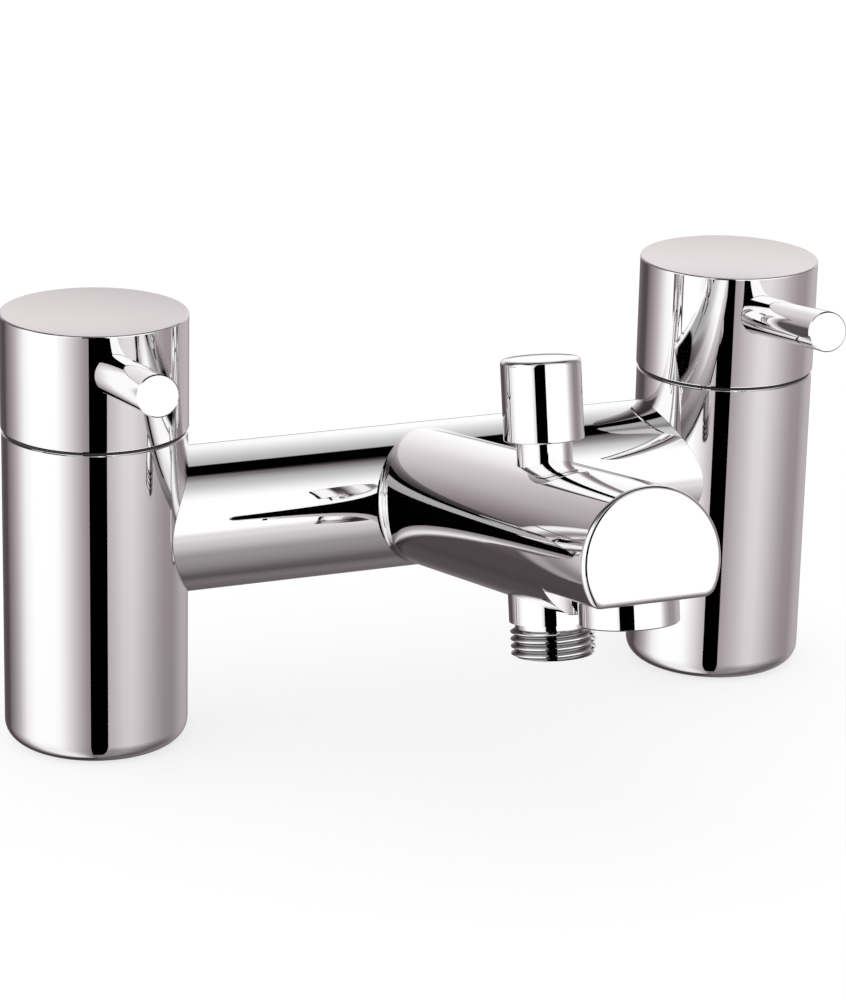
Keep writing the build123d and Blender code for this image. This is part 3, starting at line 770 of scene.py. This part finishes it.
# Bearings run from the front, positive towards the hot side. The low table is what stands near the floor.
low_room = bearings([
    (-180, 0.14), (-168, 0.16), (-150, 0.35), (-132, 0.5), (-114, 0.47), (-93, 0.32), (-77, 0.34),
    (-63, 0.43), (-51, 0.55), (-39, 0.67), (-28, 0.76), (-17, 0.74), (-7, 0.64), (12, 0.42), (27, 0.3),
    (33, 0.39), (43, 0.59), (53, 0.8), (64, 1.0), (70, 1.05), (99, 1.06), (113, 0.93), (129, 0.5),
    (139, 0.33), (150, 0.2), (158, 0.08), (172, 0.09), (180, 0.14)])
high_room = bearings([
    (-180, 0.75), (-168, 0.86), (-157, 1.0), (-140, 0.95), (-117, 0.36), (-100, 0.22), (-78, 0.27),
    (-63, 0.55), (-48, 1.05), (14, 1.05), (29, 0.5), (43, 0.72), (54, 1.05), (108, 1.05), (117, 0.75),
    (126, 0.42), (140, 0.22), (155, 0.1), (160, 0.3), (175, 0.66), (180, 0.75)])

# A zone of the room fades in between the two values of its pair. The front is in turns away from the front,
# climbs are degrees above the horizon, arcs are degrees from the front over the top to the back, and sides
# are the X of a direction, which is negative on the hot side.
front_turn = (0.36, 0.33)
front_climb = (-12.0, -3.0)
rear_climb = (-8.0, -1.0)
wall_climb = (10.0, 18.0)
wall_side = (-0.05, 0.4)
wall_level = 1.0
dusk_side = (-0.45, 0.0)
dusk_levels = (0.06, 0.5)
floor_shadows = ((0.2, (-14.0, -24.0)), (0.5, (-22.0, -44.0)), (0.35, (-44.0, -90.0)))
floor_shadow_side = (-0.3, 0.1)
floor_shadow_on_hot_side = 0.3
ceiling_shadow = 0.6
ceiling_front_arc = (38.0, 76.0)
ceiling_back_arc = (165.0, 95.0)
slit_front_arc = (84.0, 87.0)
slit_back_arc = (107.0, 105.0)
ceiling_side = (0.8, 0.62)

floor_sides = 64
floor_cloud_scale = 3.0
floor_cloud_tint = 0.5
floor_cloud_share = 0.985
paper_strength = 1.12
paper_share = 0.6
sensor_height = 36.0
camera_reach = 100.0


def studio_world(name, stage):
    """White room for the eye and the light, and soft boxes with dark gaps for what the metal mirrors."""
    world = bpy.data.worlds.new(name)
    world.use_nodes = True
    shader = Shader(world.node_tree)
    x, y, z = shader.axes(shader.node("ShaderNodeTexCoord", output="Generated"))
    bearing = (-x).math("ARCTAN2", -y) / tau + 0.5
    climb = z.math("ARCSINE") * degrees_per_radian
    arc = z.math("ARCTAN2", -y) * degrees_per_radian

    front = abs(bearing - 0.5).between(*front_turn)
    lifted = climb.between(*front_climb) * front + climb.between(*rear_climb) * (1 - front)
    colour = shader.blend(lifted, shader.ramp(bearing, low_room), shader.ramp(bearing, high_room))
    rear = (1 - front) * climb.between(*wall_climb)
    dusk = shader.blend(x.between(*dusk_side), *(grey(level) for level in dusk_levels))
    wall = shader.blend(x.between(*wall_side), dusk, grey(wall_level))
    colour = shader.blend(rear, colour, wall)

    fall = 1
    for shadow, climbs in floor_shadows:
        fall = (1 - shadow * climb.between(*climbs)) * fall
    cold = floor_shadow_on_hot_side + (1 - floor_shadow_on_hot_side) * x.between(*floor_shadow_side)
    fall = 1 - (1 - fall) * cold
    dim = 1 - ceiling_shadow * arc.between(*ceiling_front_arc) * arc.between(*ceiling_back_arc)
    slit = arc.between(*slit_front_arc) * arc.between(*slit_back_arc)
    overhead = 1 - (1 - dim * (1 - slit)) * abs(x).between(*ceiling_side)
    strength = fall * overhead * stage.studio_strength

    mirrored = shader.node("ShaderNodeBackground", values={"Color": colour, "Strength": strength})
    room = shader.node("ShaderNodeBackground", values={"Color": (1, 1, 1, 1), "Strength": stage.room_strength})
    glossy = shader.node("ShaderNodeLightPath", output="Is Glossy Ray")
    shader.output(shader.mix(glossy, room, mirrored), "ShaderNodeOutputWorld")
    return world


def floor_paper(name, stage):
    """Matt floor that is white paper with a soft shadow to the camera."""
    made, shader = material(name)
    cloud = shader.noise(shader.place(), floor_cloud_scale)
    tint = shade(stage.floor_colour, floor_cloud_share)
    tone = shader.blend(cloud * floor_cloud_tint, tuple(stage.floor_colour), tint)
    matt = shader.node("ShaderNodeBsdfDiffuse", values={"Color": tone})
    paper = shader.node("ShaderNodeEmission", values={"Color": (1, 1, 1, 1), "Strength": paper_strength})
    seen = shader.node("ShaderNodeLightPath", output="Is Camera Ray")
    shader.output(shader.mix(seen * paper_share, matt, paper))
    return made


def card(name, size, matrix, made):
    """A flat card of the stage, seen only in the metal."""
    clear_selection()
    bpy.ops.mesh.primitive_plane_add(size=1.0)
    flag = bpy.context.object
    flag.name = name
    flag.matrix_world = matrix @ Matrix.Diagonal((*size, 1, 1))
    bpy.ops.object.transform_apply(location=True, rotation=True, scale=True)
    flag.data.materials.append(made)
    flag.visible_camera = flag.visible_diffuse = flag.visible_shadow = flag.visible_transmission = False


class MIXER_OT_stage(bpy.types.Operator):
    """Lay the floor, hang the black flag, light the room and set up the camera"""

    bl_idname = "mixer.stage"
    bl_label = "Stage and camera"

    def execute(self, context):
        stage = context.scene.mixer_stage
        context.scene.view_settings.view_transform = "Standard"
        context.scene.world = studio_world("studio", stage)

        paper = floor_paper("studio floor", stage)
        clear_selection()
        bpy.ops.mesh.primitive_circle_add(vertices=floor_sides, radius=stage.floor_size / 2,
                                          fill_type="NGON", location=(0, 0, cad_box[0][2]))
        floor = context.object
        floor.name = "studio_floor"
        floor.data.materials.append(paper)
        floor.visible_glossy = False

        black, shader = material("black flag")
        shader.output(shader.node("ShaderNodeEmission", values={"Color": (0, 0, 0, 1), "Strength": 0.0}))
        place = Vector(stage.flag_place)
        facing = Vector((place.x, place.y, 0)).to_track_quat("Z", "Y").to_matrix().to_4x4()
        hung = Matrix.Translation(place) @ facing
        wide = stage.flag_width + stage.flag_widening
        card("front_flag_low", (stage.flag_width, stage.flag_drop),
             hung @ Matrix.Translation((0, -stage.flag_drop / 2, 0)), black)
        card("front_flag_high", (wide, stage.flag_rise),
             hung @ Matrix.Translation((-stage.flag_widening / 2, stage.flag_rise / 2, 0)), black)

        eye = bpy.data.objects.new("camera", bpy.data.cameras.new("camera"))
        context.scene.collection.objects.link(eye)
        eye.data.sensor_fit = "VERTICAL"
        eye.data.sensor_height = sensor_height
        eye.data.lens = stage.camera_lens
        eye.data.clip_end = camera_reach
        eye.matrix_world = (
            Matrix.Translation(stage.camera_place) @ Matrix.Rotation(-stage.camera_yaw, 4, "Z")
            @ Matrix.Rotation(pi / 2 + stage.camera_pitch, 4, "X") @ Matrix.Rotation(stage.camera_roll, 4, "Z"))
        context.scene.camera = eye
        return {"FINISHED"}


# ---------------------------------------------------------------- panel and registration

steps = (
    MIXER_OT_stage, MIXER_OT_bodies, MIXER_OT_handles, MIXER_OT_diverter, MIXER_OT_spring, MIXER_OT_valves,
    MIXER_OT_aerator, MIXER_OT_hose_nipple)
groups = {
    "mixer_finish": MixerFinish, "mixer_thread": MixerThread, "mixer_spring": MixerSpring,
    "mixer_stage": MixerStage}


class MIXER_PT_panel(bpy.types.Panel):
    """Buttons for each piece, and its settings"""

    bl_label = "Mixer"
    bl_idname = "MIXER_PT_panel"
    bl_space_type = "VIEW_3D"
    bl_region_type = "UI"
    bl_category = "Mixer"

    def draw(self, context):
        for step in steps:
            self.layout.operator(step.bl_idname)
        for group in groups:
            settings = getattr(context.scene, group)
            box = self.layout.box()
            for name in settings.bl_rna.properties.keys():
                if name not in ("rna_type", "name"):
                    box.prop(settings, name)


classes = (*groups.values(), *steps, MIXER_PT_panel)


def register():
    for entry in classes:
        bpy.utils.register_class(entry)
    for group, kind in groups.items():
        setattr(bpy.types.Scene, group, PointerProperty(type=kind))


def unregister():
    for group in reversed(groups):
        delattr(bpy.types.Scene, group)
    for entry in reversed(classes):
        bpy.utils.unregister_class(entry)


def main():
    register()
    for step in steps:
        group, name = step.bl_idname.split(".")
        getattr(getattr(bpy.ops, group), name)()


if __name__ == "__main__":
    main()
